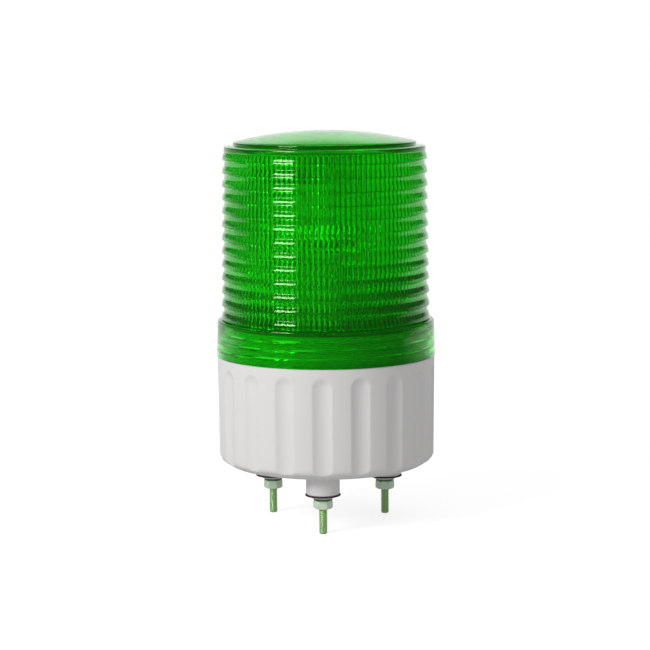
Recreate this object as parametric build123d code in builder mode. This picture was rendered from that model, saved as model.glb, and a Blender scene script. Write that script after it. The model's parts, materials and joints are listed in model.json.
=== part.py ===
from build123d import *
import os
from math import acos, atan, atan2, ceil, cos, degrees, floor, hypot, pi, radians, sin, sqrt, tan

os.makedirs("parts", exist_ok=True)

# Rotating warning light, in millimetres. Z is up from the tips of the mounting studs,
# the lamp axis is X = Y = 0 and the front is -Y.

# Mounting studs and what is on them
stud_count = 3
stud_circle_d = 64.0
stud_start = -90.0          # one stud is at the front
stud_d = 4.0
stud_pitch_d = 3.55         # where it is in the nut's thread, and its plain shank
stud_reach = 18.6           # below the packing rings
stud_chamfer = 0.5
stud_head_af = 7.0
stud_head_h = 2.8
packing_d = 16.9
packing_t = 1.6
flat_washer_d = 11.0
flat_washer_t = 1.0
lock_washer_d = 8.8
lock_washer_t = 1.2
lock_washer_slit = 0.9
nut_af = 8.0
nut_h = 4.0
stud_gap = 0.1              # radial room round a stud

# Base housing
base_r = 52.5
base_h = 52.9
base_draft = 0.5            # the wall is this much narrower at its foot
base_wall = 2.6
floor_t = 2.7
edge_w = 5.9                # sloped edge round the underside
edge_h = 3.8
edge_round = 1.6
boss_d = 16.0
boss_h = 8.9
boss_round = 0.8
flute_count = 18
flute_w = 9.4
flute_depth = 1.0
flute_below_seam = 4.5
seat_w = 2.6                # ledge that the globe's edge sits on
neck_h = 14.6
neck_wall = 2.6
neck_slope_h = 6.0
pillar_count = 3
pillar_start = 90.0
pillar_d = 9.0
pillar_web_t = 2.4
pillar_bite = 12.0          # depth of the screw holes
recess_gap = 0.1            # room round the stud heads
recess_depth = 1.2

# Cable inlet
inlet_d = 11.0
cable_d = 6.0
grommet_flange_d = 16.0
grommet_flange_t = 2.4
grommet_lip_d = 14.0
grommet_lip_t = 2.2
grommet_gap = 0.1

# Globe
collar_proud = 0.4
collar_h = 17.4
collar_draft = 0.6
collar_round = 1.2
collar_gap = 0.4            # round the neck
seal_t = 1.2
seal_inset = 0.3
rib_count = 13
rib_pitch = 6.37
rib_first = 0.65            # lowest rib's tip, above the collar
rib_step_in = 1.9           # from the collar's top edge to that tip
rib_depth = 1.15
rib_flank_h = 3.6
rib_shoulder_in = 0.25      # the flank bends here, a little above the tip
rib_shoulder_h = 1.9
rib_under_h = 1.4
rib_draft = 1.1             # the top rib is this much narrower
prism_count = 120
prism_depth = 0.9
lens_wall = 1.4             # behind the top groove
ledge_h = 2.6
ledge_proud = 0.25
rim_inset = 4.4
rim_lift = 0.4
rim_h = 1.6
rim_round = 0.7
dome_rise = 5.3
dome_wall = 2.2

# Chassis
plate_below_neck = 2.0
plate_t = 2.0
plate_gap = 0.4
plate_wire_hole_d = 5.0
screw_d = 3.0
screw_head_d = 5.6
screw_head_h = 2.0
screw_gap = 0.1
small_screw_d = 2.2
small_head_d = 4.2
small_head_h = 1.4
small_screw_bite = 4.0

# Lamp post, holder and bulb
post_d = 12.0
post_bore_d = 8.4
post_flange_d = 26.0
post_flange_t = 2.0
post_screw_circle_d = 19.4
post_above_hub = 2.6
clip_t = 0.8
clip_d = 17.0
clip_gap = 0.02
holder_d = 17.6
holder_wall = 1.0
holder_h = 14.4
holder_floor_t = 1.4
holder_stem_h = 8.0
slot_w = 2.2
slot_depth = 6.6
slot_turn = 16.0
cap_d = 15.1
cap_h = 13.2
cap_pin_d = 1.8
insulator_t = 3.0
bulb_d = 18.4
bulb_neck_d = 13.6
bulb_rise = 25.6            # from the cap's rim to the bulb's top

# Gear train: the motor pinion drives the idler wheel, whose pinion drives the carrier
carrier_teeth = 44
idler_pinion_teeth = 12
slow_module = 1.0
idler_wheel_teeth = 32
motor_pinion_teeth = 12
fast_module = 0.8
pressure_angle = 25.0
addendum = 0.8              # in modules
dedendum = 1.05
backlash = 0.16
centre_spread = 0.1
fast_face = 3.0
slow_face = 3.4
layer_gap = 0.8
hub_d = 19.0
thrust_washer_d = 18.0
thrust_washer_t = 0.6
run_gap = 0.1
bush_wall = 1.8
bore_gap = 0.05
platform_d = 40.0
platform_t = 2.0
hub_above_platform = 3.0
idler_azimuth = 114.0
idler_pin_d = 3.0
idler_hub_d = 6.6
idler_hub_lift = 1.2
idler_clip_t = 0.6
idler_clip_d = 5.6

# Motor
motor_axis_r = 29.0
motor_d = 22.0
motor_h = 18.0
motor_round = 1.5
motor_cap_h = 3.6
motor_cap_inset = 0.8
motor_nose_d = 6.0
motor_nose_h = 1.2
motor_shaft_d = 2.0
motor_shaft_in = 4.0
motor_screw_spread = 16.0
tab_w = 2.4
tab_t = 0.6
tab_l = 4.6

# Reflector
reflector_heading = -130.0  # the way that it opens, at rest
focal_length = 14.5
mouth_ahead = 3.0           # of the focus, along the mirror's axis
mirror_wall = 1.2
mirror_foot_gap = 2.2       # between the dish and the carrier's platform
foot_t = 2.0
foot_w = 26.0
foot_near = 10.9
foot_far = 19.4
gusset_t = 1.8
gusset_spread = 17.0
reflector_screw_spread = 9.0
notch_gap = 1.6

# Terminal block
block_w = 20.0
block_d = 12.0
block_h = 12.0
block_r = 27.0
block_azimuth = -90.0
block_screw_spread = 15.0
block_poles = 2
pole_pitch = 7.0
pole_d = 4.0

# Heights that follow
panel_z = stud_reach
foot_z = panel_z + packing_t
base_z = foot_z + boss_h
floor_z = base_z + floor_t
seam_z = base_z + base_h
neck_z = seam_z + neck_h
shoulder_z = neck_z + seal_t
collar_z = seam_z + collar_h
plate_top_z = neck_z - plate_below_neck
plate_z = plate_top_z - plate_t
hub_z = plate_top_z + thrust_washer_t + run_gap
wheel_z = plate_top_z + idler_hub_lift
teeth_z = wheel_z + fast_face + layer_gap
platform_z = teeth_z + slow_face
platform_top_z = platform_z + platform_t
hub_top_z = platform_top_z + hub_above_platform
clip_z = hub_top_z + run_gap
post_top_z = hub_top_z + post_above_hub
holder_top_z = post_top_z + holder_h
cap_z = post_top_z + holder_floor_t + insulator_t
cap_top_z = cap_z + cap_h
bulb_top_z = cap_top_z + bulb_rise
focus_z = bulb_top_z - bulb_d / 2

# Radii that follow
stud_r = stud_d / 2
wall_foot_r = base_r - base_draft
bottom_r = wall_foot_r - edge_w
neck_r = base_r - seat_w
neck_in_r = neck_r - neck_wall
wall_in_r = base_r - base_wall
collar_r = base_r + collar_proud
collar_top_r = collar_r - collar_draft
collar_in_r = neck_r + collar_gap
plate_r = neck_in_r - plate_gap
pillar_r = plate_r - pillar_d / 2 - 1.4
tip_r_low = collar_top_r - rib_step_in
tip_r_top = tip_r_low - rib_draft
valley_r = tip_r_top - rib_depth - lens_wall
crest_r = valley_r - prism_depth
step_r = tip_r_top - rib_depth + ledge_proud
rim_r = step_r - rim_inset
post_r = post_d / 2
hub_bore_r = post_r + bore_gap + bush_wall

stud_circle = PolarLocations(stud_circle_d / 2, stud_count, start_angle=stud_start)
stud_places = [location.position for location in stud_circle]
foot_names = ["front", "right", "left"]
pillar_angles = [pillar_start + 360 / pillar_count * i for i in range(pillar_count)]


def polar(radius, azimuth, z=0.0):
    return (radius * cos(radians(azimuth)), radius * sin(radians(azimuth)), z)


def involute(angle):
    return tan(angle) - angle


# Outline of a spur gear with one tooth centred on the azimuth `phase`, in degrees
def gear_points(teeth, module, phase):
    pitch_r = teeth * module / 2
    base_circle_r = pitch_r * cos(radians(pressure_angle))
    tip = pitch_r + addendum * module
    root = pitch_r - dedendum * module
    half_at_pitch = pi / (2 * teeth) - backlash / (4 * pitch_r)

    def half_angle(radius):
        reach = acos(base_circle_r / max(radius, base_circle_r))
        return half_at_pitch + involute(radians(pressure_angle)) - involute(reach)

    rising = [root, max(base_circle_r, root + 0.12 * module), (pitch_r + tip) / 2, tip]
    points = []
    for tooth in range(teeth):
        middle = radians(phase) + 2 * pi * tooth / teeth
        for radius in rising:
            points.append(polar(radius, degrees(middle - half_angle(radius)))[:2])
        for radius in reversed(rising):
            points.append(polar(radius, degrees(middle + half_angle(radius)))[:2])
    return points


# Phase that puts gear B, at `azimuth` from gear A, in mesh with gear A
def meshed_phase(teeth_a, phase_a, teeth_b, azimuth):
    share = ((azimuth - phase_a) * teeth_a / 360) % 1
    return azimuth + 180 - (0.5 - share) * 360 / teeth_b


# Radius of an arc that spans a chord with a given rise
def arc_radius(chord, rise):
    return (chord ** 2 / 4 + rise ** 2) / (2 * rise)


# Places of the gear train
carrier_phase = 0.0
idler_r = (carrier_teeth + idler_pinion_teeth) * slow_module / 2 + centre_spread
idler_place = polar(idler_r, idler_azimuth)
motor_span = (idler_wheel_teeth + motor_pinion_teeth) * fast_module / 2 + centre_spread
motor_turn = degrees(
    acos((idler_r ** 2 + motor_axis_r ** 2 - motor_span ** 2) / (2 * idler_r * motor_axis_r))
)
motor_azimuth = idler_azimuth + motor_turn
motor_place = polar(motor_axis_r, motor_azimuth)
motor_bearing = degrees(
    atan2(motor_place[1] - idler_place[1], motor_place[0] - idler_place[0])
)
idler_pinion_phase = meshed_phase(
    carrier_teeth, carrier_phase, idler_pinion_teeth, idler_azimuth
)
motor_pinion_phase = meshed_phase(idler_wheel_teeth, 0.0, motor_pinion_teeth, motor_bearing)
across_motor = motor_bearing + 90
motor_screw_places = [
    tuple(
        centre + side * reach
        for centre, reach in zip(motor_place[:2], polar(motor_screw_spread / 2, across_motor))
    )
    for side in (-1, 1)
]

# The reflector's own direction, and the sketch plane through its axis
heading = polar(1.0, reflector_heading)
mirror_plane = Plane(
    origin=(0, 0, focus_z), x_dir=heading, z_dir=(heading[1], -heading[0], 0)
)
mirror_axis = Axis((0, 0, focus_z), heading)
rear_plane = Plane(origin=(0, 0, platform_top_z), x_dir=heading, z_dir=(0, 0, 1))
foot_middle = (foot_near + foot_far) / 2
block_place = polar(block_r, block_azimuth)


# Base housing: a fluted cup with a neck for the globe, three feet and a cable inlet
flute_rise = flute_depth - base_r + sqrt(base_r ** 2 - flute_w ** 2 / 4)
flute_bow_r = arc_radius(flute_w, flute_rise)
flute_axis_r = base_r - flute_depth + flute_bow_r
flute_top_z = seam_z - flute_below_seam - flute_w / 2
wall_lean = degrees(atan(base_draft / (base_h - edge_h)))

with BuildPart() as base_housing:
    with BuildSketch(Plane.XZ) as wall_section:
        with BuildLine():
            Polyline(
                (inlet_d / 2, base_z),
                (bottom_r, base_z),
                (wall_foot_r, base_z + edge_h),
                (base_r, seam_z),
                (neck_r, seam_z),
                (neck_r, neck_z),
                (neck_in_r, neck_z),
                (neck_in_r, seam_z),
                (wall_in_r, seam_z - neck_slope_h),
                (wall_in_r - base_draft, base_z + edge_h),
                (bottom_r - base_wall / 2, floor_z),
                (inlet_d / 2, floor_z),
                close=True,
            )
        make_face()
        outer_corners = [(bottom_r, base_z), (wall_foot_r, base_z + edge_h)]
        for corner in outer_corners:
            fillet(wall_section.vertices().sort_by_distance((*corner, 0))[0], edge_round)
    revolve(axis=Axis.Z)
    with Locations((0, 0, base_z)):
        with PolarLocations(stud_circle_d / 2, stud_count, start_angle=stud_start):
            Cylinder(boss_d / 2, boss_h, align=(Align.CENTER, Align.CENTER, Align.MAX))
    fillet(base_housing.edges().group_by(Axis.Z)[0], boss_round)
    with Locations((0, 0, floor_z)):
        with PolarLocations(pillar_r, pillar_count, start_angle=pillar_start):
            Cylinder(
                pillar_d / 2, plate_z - floor_z,
                align=(Align.CENTER, Align.CENTER, Align.MIN),
            )
            Box(
                wall_in_r - pillar_r + base_wall / 4,
                pillar_web_t,
                seam_z - neck_slope_h - floor_z,
                align=(Align.MIN, Align.CENTER, Align.MIN),
            )
    with Locations((0, 0, plate_z)):
        with PolarLocations(pillar_r, pillar_count, start_angle=pillar_start):
            Cylinder(
                screw_d / 2 + screw_gap, pillar_bite,
                align=(Align.CENTER, Align.CENTER, Align.MAX), mode=Mode.SUBTRACT,
            )
    with Locations((0, 0, foot_z)):
        with PolarLocations(stud_circle_d / 2, stud_count, start_angle=stud_start):
            Cylinder(
                stud_r + stud_gap, boss_h + floor_t,
                align=(Align.CENTER, Align.CENTER, Align.MIN), mode=Mode.SUBTRACT,
            )
    with BuildSketch(Plane.XY.offset(floor_z)):
        with Locations(*[(place.X, place.Y) for place in stud_places]):
            RegularPolygon(stud_head_af / 2 + recess_gap, 6, major_radius=False)
    extrude(amount=-recess_depth, mode=Mode.SUBTRACT)
    with PolarLocations(flute_axis_r, flute_count, start_angle=stud_start):
        with Locations(Location((0, 0, flute_top_z), (0, wall_lean, 0))):
            Cylinder(
                flute_bow_r, base_h,
                align=(Align.CENTER, Align.CENTER, Align.MAX), mode=Mode.SUBTRACT,
            )
            Sphere(flute_bow_r, mode=Mode.SUBTRACT)
base_housing.part.label = "base_housing"
export_step(base_housing.part, "parts/base_housing.step")

# Rubber grommet in the middle of the floor, with a bore for the supply cable
with BuildPart() as cable_grommet:
    with BuildSketch(Plane.XZ) as grommet_section:
        with BuildLine():
            Polyline(
                (cable_d / 2, base_z - grommet_flange_t),
                (grommet_flange_d / 2 - 1, base_z - grommet_flange_t),
                (grommet_flange_d / 2, base_z - grommet_flange_t / 2),
                (grommet_flange_d / 2, base_z),
                (inlet_d / 2 - grommet_gap, base_z),
                (inlet_d / 2 - grommet_gap, floor_z),
                (grommet_lip_d / 2, floor_z),
                (grommet_lip_d / 2 - 1, floor_z + grommet_lip_t),
                (cable_d / 2, floor_z + grommet_lip_t),
                close=True,
            )
        make_face()
    revolve(axis=Axis.Z)
cable_grommet.part.label = "cable_grommet"
export_step(cable_grommet.part, "parts/cable_grommet.step")

# Each foot: stud, packing ring, flat washer, lock washer and nut
head_z = floor_z - recess_depth
washer_z = panel_z - flat_washer_t
lock_z = washer_z - lock_washer_t
nut_z = lock_z - nut_h
nut_corner_r = nut_af / sqrt(3)

for foot, place in zip(foot_names, stud_places):
    with BuildPart(Plane((place.X, place.Y, 0))) as stud:
        Cylinder(stud_r, nut_z, align=(Align.CENTER, Align.CENTER, Align.MIN))
        chamfer(stud.edges().group_by(Axis.Z)[0], stud_chamfer)
        Cylinder(stud_pitch_d / 2, head_z, align=(Align.CENTER, Align.CENTER, Align.MIN))
        with BuildSketch(Plane((place.X, place.Y, head_z))):
            RegularPolygon(stud_head_af / 2, 6, major_radius=False)
        extrude(amount=stud_head_h)
    stud.part.label = f"{foot}_stud"
    export_step(stud.part, f"parts/{foot}_stud.step")

    with BuildPart() as packing:
        with BuildSketch(Plane((place.X, place.Y, panel_z))):
            Circle(packing_d / 2)
            Circle(stud_r + stud_gap, mode=Mode.SUBTRACT)
        extrude(amount=packing_t)
        round_edges = packing.edges().filter_by(GeomType.CIRCLE)
        chamfer(round_edges.group_by(SortBy.RADIUS)[-1], packing_t / 4)
    packing.part.label = f"{foot}_packing"
    export_step(packing.part, f"parts/{foot}_packing.step")

    with BuildPart() as flat_washer:
        with BuildSketch(Plane((place.X, place.Y, washer_z))):
            Circle(flat_washer_d / 2)
            Circle(stud_r + stud_gap, mode=Mode.SUBTRACT)
        extrude(amount=flat_washer_t)
    flat_washer.part.label = f"{foot}_flat_washer"
    export_step(flat_washer.part, f"parts/{foot}_flat_washer.step")

    with BuildPart() as lock_washer:
        with BuildSketch(Plane((place.X, place.Y, lock_z))):
            Circle(lock_washer_d / 2)
            Circle(stud_r + stud_gap, mode=Mode.SUBTRACT)
            with Locations((lock_washer_d / 4, 0)):
                Rectangle(
                    lock_washer_d / 2, lock_washer_slit, rotation=-30, mode=Mode.SUBTRACT
                )
        extrude(amount=lock_washer_t)
    lock_washer.part.label = f"{foot}_lock_washer"
    export_step(lock_washer.part, f"parts/{foot}_lock_washer.step")

    with BuildPart() as nut:
        with BuildSketch(Plane((place.X, place.Y, nut_z))):
            RegularPolygon(nut_af / 2, 6, major_radius=False)
            Circle(stud_pitch_d / 2 + stud_gap, mode=Mode.SUBTRACT)
        extrude(amount=nut_h)
        with BuildSketch(Plane((place.X, place.Y, 0), x_dir=(1, 0, 0), z_dir=(0, -1, 0))):
            with BuildLine():
                Polyline(
                    (0, nut_z),
                    (nut_af / 2, nut_z),
                    (nut_corner_r, nut_z + (nut_corner_r - nut_af / 2) * 0.7),
                    (nut_corner_r, nut_z + nut_h - (nut_corner_r - nut_af / 2) * 0.6),
                    (nut_af / 2, nut_z + nut_h),
                    (0, nut_z + nut_h),
                    close=True,
                )
            make_face()
        revolve(axis=Axis((place.X, place.Y, 0), (0, 0, 1)), mode=Mode.INTERSECT)
    nut.part.label = f"{foot}_nut"
    export_step(nut.part, f"parts/{foot}_nut.step")


# Globe: threaded collar, saw-tooth ribs outside, upright prisms inside, shallow dome
def rib_outline():
    points = []
    for rib in range(rib_count):
        share = rib / (rib_count - 1)
        tip = tip_r_low + (tip_r_top - tip_r_low) * share
        tip_z = collar_z + rib_first + rib_pitch * rib
        if rib == 0:
            points.append((tip - rib_depth * rib_first / rib_under_h, collar_z))
        else:
            points.append((tip - rib_depth, tip_z - rib_under_h))
        points.append((tip, tip_z))
        points.append((tip - rib_shoulder_in, tip_z + rib_shoulder_h))
        points.append((tip - rib_depth, tip_z + rib_flank_h))
    return points


ribs = rib_outline()
band_z = ribs[-1][1]
ledge_z = band_z + ledge_h
rim_z = ledge_z + rim_lift + rim_h
apex_z = rim_z + dome_rise
lens_top_z = ledge_z - dome_wall
dome_r = arc_radius(2 * rim_r, dome_rise)
inner_rim_r = rim_r - dome_wall
inner_rim_z = lens_top_z + rim_lift + rim_h


def dome_height(radius, wall=0.0):
    return apex_z - dome_r + sqrt((dome_r - wall) ** 2 - radius ** 2)


with BuildPart() as globe:
    with BuildSketch(Plane.XZ) as lens_section:
        with BuildLine():
            Polyline(
                (collar_in_r, shoulder_z),
                (collar_in_r, seam_z),
                (collar_r, seam_z),
                (collar_top_r, collar_z),
                *ribs[:-1],
                (step_r, band_z),
                (step_r, ledge_z),
                (rim_r, ledge_z + rim_lift),
                (rim_r, rim_z),
            )
            ThreePointArc((rim_r, rim_z), (rim_r / 2, dome_height(rim_r / 2)), (0, apex_z))
            Line((0, apex_z), (0, apex_z - dome_wall))
            ThreePointArc(
                (0, apex_z - dome_wall),
                (inner_rim_r / 2, dome_height(inner_rim_r / 2, dome_wall)),
                (inner_rim_r, dome_height(inner_rim_r, dome_wall)),
            )
            Polyline(
                (inner_rim_r, dome_height(inner_rim_r, dome_wall)),
                (crest_r - prism_depth, lens_top_z),
                (crest_r, lens_top_z),
                (crest_r, shoulder_z),
                (collar_in_r, shoulder_z),
            )
        make_face()
        rounded = [
            ((collar_top_r, collar_z), collar_round),
            ((step_r, ledge_z), rim_round),
            ((rim_r, rim_z), rim_round),
        ]
        for corner, size in rounded:
            fillet(lens_section.vertices().sort_by_distance((*corner, 0))[0], size)
    revolve(axis=Axis.Z)
    with BuildSketch(Plane.XY.offset(shoulder_z)):
        with BuildLine():
            Polyline(
                *[
                    polar(crest_r if edge % 2 else valley_r, 180 / prism_count * edge)[:2]
                    for edge in range(2 * prism_count)
                ],
                close=True,
            )
        make_face()
    extrude(amount=lens_top_z - shoulder_z, mode=Mode.SUBTRACT)
globe.part.label = "globe"
export_step(globe.part, "parts/globe.step")

# Sealing ring between the neck's rim and the globe's inner shoulder
with BuildPart() as globe_seal:
    with BuildSketch(Plane.XY.offset(neck_z)):
        Circle(neck_r - seal_inset)
        Circle(neck_in_r + seal_inset, mode=Mode.SUBTRACT)
    extrude(amount=seal_t)
globe_seal.part.label = "globe_seal"
export_step(globe_seal.part, "parts/globe_seal.step")

# Chassis plate, which drops into the neck and carries the whole mechanism
post_screw_angles = [30 + 120 * i for i in range(3)]
with BuildPart() as chassis_plate:
    with BuildSketch(Plane.XY.offset(plate_z)):
        Circle(plate_r)
        Circle(post_r + bore_gap, mode=Mode.SUBTRACT)
        with PolarLocations(pillar_r, pillar_count, start_angle=pillar_start):
            Circle(screw_d / 2 + screw_gap, mode=Mode.SUBTRACT)
        with Locations(*[polar(post_screw_circle_d / 2, a)[:2] for a in post_screw_angles]):
            Circle(small_screw_d / 2 + screw_gap, mode=Mode.SUBTRACT)
        with Locations(*motor_screw_places):
            Circle(small_screw_d / 2 + screw_gap, mode=Mode.SUBTRACT)
        with Locations(motor_place[:2]):
            Circle(motor_nose_d / 2 + screw_gap, mode=Mode.SUBTRACT)
        with Locations(idler_place[:2]):
            Circle(idler_pin_d / 2 + clip_gap, mode=Mode.SUBTRACT)
        with Locations(block_place[:2]):
            with GridLocations(block_screw_spread, 0, 2, 1):
                Circle(small_screw_d / 2 + screw_gap, mode=Mode.SUBTRACT)
        with Locations(polar(block_r, pillar_start - 60)[:2]):
            Circle(plate_wire_hole_d / 2, mode=Mode.SUBTRACT)
    extrude(amount=plate_t)
chassis_plate.part.label = "chassis_plate"
export_step(chassis_plate.part, "parts/chassis_plate.step")


# Pan-head screw of revolution, for placing with its head's seat at z = 0, shank down
def screw_outline(shank_d, head_d, head_h, length):
    return [
        (0, -length),
        (shank_d / 2, -length),
        (shank_d / 2, 0),
        (head_d / 2, 0),
        (head_d / 2, head_h * 0.55),
        (head_d / 2 - head_h * 0.45, head_h),
        (0, head_h),
    ]


with BuildPart() as chassis_screws:
    for angle in pillar_angles:
        seat = polar(pillar_r, angle, plate_top_z)
        with BuildSketch(Plane(seat, x_dir=(1, 0, 0), z_dir=(0, -1, 0))):
            with BuildLine():
                Polyline(
                    *screw_outline(
                        screw_d, screw_head_d, screw_head_h, plate_t + pillar_bite - 2
                    ),
                    close=True,
                )
            make_face()
        revolve(axis=Axis(seat, (0, 0, 1)))
chassis_screws.part.label = "chassis_screws"
export_step(chassis_screws.part, "parts/chassis_screws.step")

# Lamp post: a hollow pillar through the plate, flanged and screwed from below
with BuildPart() as lamp_post:
    with BuildSketch(Plane.XZ):
        with BuildLine():
            Polyline(
                (post_bore_d / 2, plate_z - post_flange_t),
                (post_flange_d / 2, plate_z - post_flange_t),
                (post_flange_d / 2, plate_z),
                (post_r, plate_z),
                (post_r, clip_z),
                (post_r - clip_t, clip_z),
                (post_r - clip_t, clip_z + clip_t + clip_gap),
                (post_r, clip_z + clip_t + clip_gap),
                (post_r, post_top_z),
                (post_bore_d / 2, post_top_z),
                close=True,
            )
        make_face()
    revolve(axis=Axis.Z)
    with BuildSketch(Plane.XY.offset(plate_z)):
        with Locations(*[polar(post_screw_circle_d / 2, a)[:2] for a in post_screw_angles]):
            Circle(small_screw_d / 2 + screw_gap)
    extrude(amount=-post_flange_t, mode=Mode.SUBTRACT)
lamp_post.part.label = "lamp_post"
export_step(lamp_post.part, "parts/lamp_post.step")

with BuildPart() as post_screws:
    for angle in post_screw_angles:
        seat = polar(post_screw_circle_d / 2, angle, plate_z - post_flange_t)
        with BuildSketch(Plane(seat, x_dir=(1, 0, 0), z_dir=(0, 1, 0))):
            with BuildLine():
                Polyline(
                    *screw_outline(
                        small_screw_d, small_head_d, small_head_h, post_flange_t + plate_t
                    ),
                    close=True,
                )
            make_face()
        revolve(axis=Axis(seat, (0, 0, 1)))
post_screws.part.label = "post_screws"
export_step(post_screws.part, "parts/post_screws.step")

with BuildPart() as thrust_washer:
    with BuildSketch(Plane.XY.offset(plate_top_z)):
        Circle(thrust_washer_d / 2)
        Circle(post_r + bore_gap, mode=Mode.SUBTRACT)
    extrude(amount=thrust_washer_t)
thrust_washer.part.label = "thrust_washer"
export_step(thrust_washer.part, "parts/thrust_washer.step")

# Open retaining clip in the post's groove, above the carrier's hub
with BuildPart() as post_clip:
    with BuildSketch(Plane.XY.offset(clip_z)):
        Circle(clip_d / 2)
        Circle(post_r - clip_t + clip_gap, mode=Mode.SUBTRACT)
        with Locations((clip_d / 2, 0)):
            Rectangle(clip_d, post_r, mode=Mode.SUBTRACT)
    extrude(amount=clip_t)
post_clip.part.label = "post_clip"
export_step(post_clip.part, "parts/post_clip.step")

# Carrier: the large gear with its hub, and the platform that the reflector stands on
screw_row = [(-foot_middle, side * reflector_screw_spread / 2) for side in (-1, 1)]
with BuildPart() as carrier_gear:
    with BuildSketch(Plane.XY.offset(hub_z)):
        Circle(hub_d / 2)
    extrude(amount=hub_top_z - hub_z)
    with BuildSketch(Plane.XY.offset(teeth_z)):
        with BuildLine():
            Polyline(*gear_points(carrier_teeth, slow_module, carrier_phase), close=True)
        make_face()
    extrude(amount=slow_face)
    with BuildSketch(Plane.XY.offset(platform_z)):
        Circle(platform_d / 2)
    extrude(amount=platform_t)
    with BuildSketch(Plane.XY.offset(hub_z)):
        Circle(hub_bore_r)
    extrude(amount=hub_top_z - hub_z, mode=Mode.SUBTRACT)
    with BuildSketch(rear_plane):
        with Locations(*screw_row):
            Circle(small_screw_d / 2 + screw_gap)
    extrude(amount=-small_screw_bite, mode=Mode.SUBTRACT)
carrier_gear.part.label = "carrier_gear"
export_step(carrier_gear.part, "parts/carrier_gear.step")

with BuildPart() as carrier_bush:
    with BuildSketch(Plane.XY.offset(hub_z)):
        Circle(hub_bore_r - clip_gap)
        Circle(post_r + bore_gap, mode=Mode.SUBTRACT)
    extrude(amount=hub_top_z - hub_z)
carrier_bush.part.label = "carrier_bush"
export_step(carrier_bush.part, "parts/carrier_bush.step")

# Idler: a pin in the plate, the wheel and pinion moulded as one, and a clip
with BuildPart() as idler_gear:
    with BuildSketch(Plane((idler_place[0], idler_place[1], plate_top_z + run_gap))):
        Circle(idler_hub_d / 2)
    extrude(amount=wheel_z - plate_top_z)
    with BuildSketch(Plane((idler_place[0], idler_place[1], wheel_z))):
        with BuildLine():
            Polyline(*gear_points(idler_wheel_teeth, fast_module, 0.0), close=True)
        make_face()
    extrude(amount=fast_face)
    with BuildSketch(Plane((idler_place[0], idler_place[1], wheel_z + fast_face))):
        with BuildLine():
            Polyline(
                *gear_points(idler_pinion_teeth, slow_module, idler_pinion_phase), close=True
            )
        make_face()
    extrude(amount=layer_gap + slow_face + run_gap)
    with BuildSketch(Plane((idler_place[0], idler_place[1], plate_top_z))):
        Circle(idler_pin_d / 2 + bore_gap)
    extrude(amount=platform_z + run_gap - plate_top_z, mode=Mode.SUBTRACT)
idler_gear.part.label = "idler_gear"
export_step(idler_gear.part, "parts/idler_gear.step")

idler_clip_z = platform_z + 2 * run_gap
with BuildPart() as idler_pin:
    with BuildSketch(Plane((idler_place[0], idler_place[1], plate_z))):
        Circle(idler_pin_d / 2)
    extrude(amount=idler_clip_z + 2 * idler_clip_t - plate_z)
    with BuildSketch(Plane((idler_place[0], idler_place[1], idler_clip_z))):
        Circle(idler_pin_d / 2)
        Circle(idler_pin_d / 2 - idler_clip_t / 2, mode=Mode.SUBTRACT)
    extrude(amount=idler_clip_t + clip_gap, mode=Mode.SUBTRACT)
idler_pin.part.label = "idler_pin"
export_step(idler_pin.part, "parts/idler_pin.step")

with BuildPart() as idler_clip:
    with BuildSketch(Plane((idler_place[0], idler_place[1], idler_clip_z))):
        Circle(idler_clip_d / 2)
        Circle(idler_pin_d / 2 - idler_clip_t / 2 + clip_gap, mode=Mode.SUBTRACT)
        with Locations((idler_clip_d / 2, 0)):
            Rectangle(idler_clip_d, idler_pin_d / 2, mode=Mode.SUBTRACT)
    extrude(amount=idler_clip_t)
idler_clip.part.label = "idler_clip"
export_step(idler_clip.part, "parts/idler_clip.step")

# Motor: drawn can, plastic end cap with two tabs, shaft and pinion
shaft_z = plate_z - motor_shaft_in
with BuildPart() as motor_can:
    with BuildSketch(Plane((motor_place[0], motor_place[1], plate_z))):
        Circle(motor_d / 2)
    extrude(amount=-motor_h)
    fillet(motor_can.edges().group_by(Axis.Z)[-1], motor_round)
    with BuildSketch(Plane((motor_place[0], motor_place[1], plate_z))):
        Circle(motor_nose_d / 2)
    extrude(amount=motor_nose_h)
    with BuildSketch(Plane((motor_place[0], motor_place[1], plate_z + motor_nose_h))):
        Circle(motor_shaft_d / 2 + bore_gap)
    extrude(amount=-motor_nose_h - motor_shaft_in, mode=Mode.SUBTRACT)
    with BuildSketch(Plane.XY.offset(plate_z)):
        with Locations(*motor_screw_places):
            Circle(small_screw_d / 2 + screw_gap)
    extrude(amount=-small_screw_bite, mode=Mode.SUBTRACT)
motor_can.part.label = "motor_can"
export_step(motor_can.part, "parts/motor_can.step")

cap_low_z = plate_z - motor_h - motor_cap_h
with BuildPart() as motor_end_cap:
    with BuildSketch(Plane((motor_place[0], motor_place[1], plate_z - motor_h))):
        Circle(motor_d / 2 - motor_cap_inset)
    extrude(amount=-motor_cap_h)
    chamfer(motor_end_cap.edges().group_by(Axis.Z)[0], motor_cap_inset)
motor_end_cap.part.label = "motor_end_cap"
export_step(motor_end_cap.part, "parts/motor_end_cap.step")

with BuildPart() as motor_tabs:
    with BuildSketch(Plane((motor_place[0], motor_place[1], cap_low_z))):
        with GridLocations(motor_d / 2, 0, 2, 1):
            Rectangle(tab_t, tab_w)
    extrude(amount=-tab_l)
motor_tabs.part.label = "motor_tabs"
export_step(motor_tabs.part, "parts/motor_tabs.step")

with BuildPart() as motor_shaft:
    with BuildSketch(Plane((motor_place[0], motor_place[1], shaft_z))):
        Circle(motor_shaft_d / 2)
    extrude(amount=wheel_z + fast_face + run_gap - shaft_z)
motor_shaft.part.label = "motor_shaft"
export_step(motor_shaft.part, "parts/motor_shaft.step")

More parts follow.
